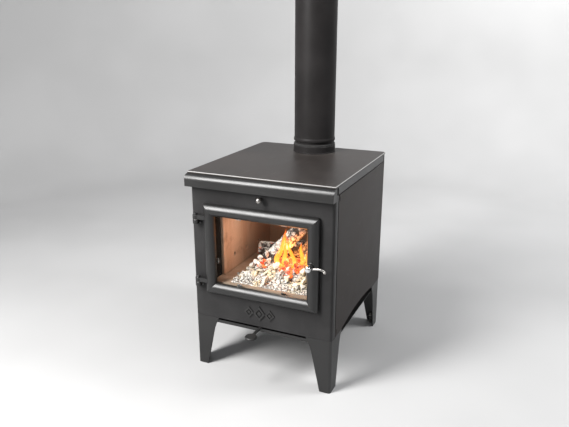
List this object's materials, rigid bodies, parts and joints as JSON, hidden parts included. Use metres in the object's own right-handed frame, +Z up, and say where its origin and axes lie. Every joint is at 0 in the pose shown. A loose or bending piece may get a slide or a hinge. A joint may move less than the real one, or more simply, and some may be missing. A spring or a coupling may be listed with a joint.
{
  "type": "wood burning stove",
  "caption": "Free-standing steel wood stove on tapered legs, with a flat hob, glazed door hinged on the left, lever latch, airwash and primary air controls, brick lining and rear flue pipe.",
  "frame": {"origin": "middle of the footprint at floor level", "axes": "+X to the viewer's right, +Y from the door to the back, +Z up"},
  "size_m": [0.51, 0.644, 1.343],
  "materials": {
    "casing_paint": "satin",
    "hob_steel": "satin",
    "flue_paint": "satin",
    "firebox_steel": "matte",
    "cast_iron": "matte",
    "firebrick": "matte",
    "vermiculite": "matte",
    "stove_glass": "polished",
    "sealing_rope": "matte",
    "polished_steel": "polished",
    "satin_steel": "satin",
    "wood_ash": "matte",
    "charred_wood": "matte",
    "ember": "matte",
    "flame": "matte"
  },
  "bodies": {
    "stove": {"front_panel": "casing_paint", "corner_posts": "casing_paint", "side_panel_left": "casing_paint", "side_panel_right": "casing_paint", "back_panel": "casing_paint", "back_panel_spacers": "firebox_steel", "back_panel_screws": "satin_steel", "leg_front_left": "casing_paint", "leg_front_right": "casing_paint", "leg_rear_left": "casing_paint", "leg_rear_right": "casing_paint", "foot_tabs": "casing_paint", "levelling_screws": "satin_steel", "base_plate": "casing_paint", "hob_plate": "hob_steel", "front_rail": "casing_paint", "hob_bearers": "casing_paint", "flue_collar": "flue_paint", "flue_rope": "sealing_rope", "flue_pipe": "flue_paint", "firebox_walls": "firebox_steel", "firebox_back_wall": "firebox_steel", "firebox_floor": "firebox_steel", "throat_cheeks": "firebox_steel", "throat_plates": "firebox_steel", "airwash_partition": "firebox_steel", "airwash_guide": "firebox_steel", "sill_brick": "firebrick", "side_brick_left": "firebrick", "side_brick_right": "firebrick", "back_brick": "firebrick", "base_bricks": "firebrick", "fire_grate": "cast_iron", "baffle_plate": "vermiculite", "hinge_brackets": "casing_paint", "hinge_washers": "satin_steel", "hinge_pins": "casing_paint", "latch_keeper": "satin_steel", "lever_pivot": "satin_steel", "front_ornament": "cast_iron"},
    "door": {"door_frame": "casing_paint", "door_glass": "stove_glass", "glass_tape": "sealing_rope", "glass_clips": "satin_steel", "clip_screws": "satin_steel", "door_rope": "sealing_rope", "door_lugs": "casing_paint", "latch_bush": "casing_paint"},
    "latch": {"latch_spindle": "satin_steel", "door_handle": "satin_steel", "handle_knob": "polished_steel", "latch_tongue": "satin_steel", "latch_nut": "satin_steel"},
    "airwash": {"airwash_knob": "satin_steel", "airwash_rod": "satin_steel", "airwash_shutter": "firebox_steel"},
    "lever": {"air_lever": "cast_iron", "air_lever_knob": "cast_iron", "air_damper": "cast_iron"}
  },
  "joints": [
    {"name": "door_swing", "type": "hinge", "parent": "stove", "child": "door", "pos_m": [-0.226, -0.249, 0.44], "axis": [0, 0, 1], "range_deg": [-120, 0]},
    {"name": "latch_turn", "type": "hinge", "parent": "door", "child": "latch", "pos_m": [0.1865, -0.234, 0.45], "axis": [0, -1, 0], "range_deg": [-30, 50]},
    {"name": "airwash_pull", "type": "slide", "parent": "stove", "child": "airwash", "axis": [0, -1, 0], "range_m": [0, 0.012]},
    {"name": "air_lever_swing", "type": "hinge", "parent": "stove", "child": "lever", "pos_m": [-0.003, -0.084, 0.186], "axis": [0, 0, 1], "range_deg": [-25, 25]}
  ]
}
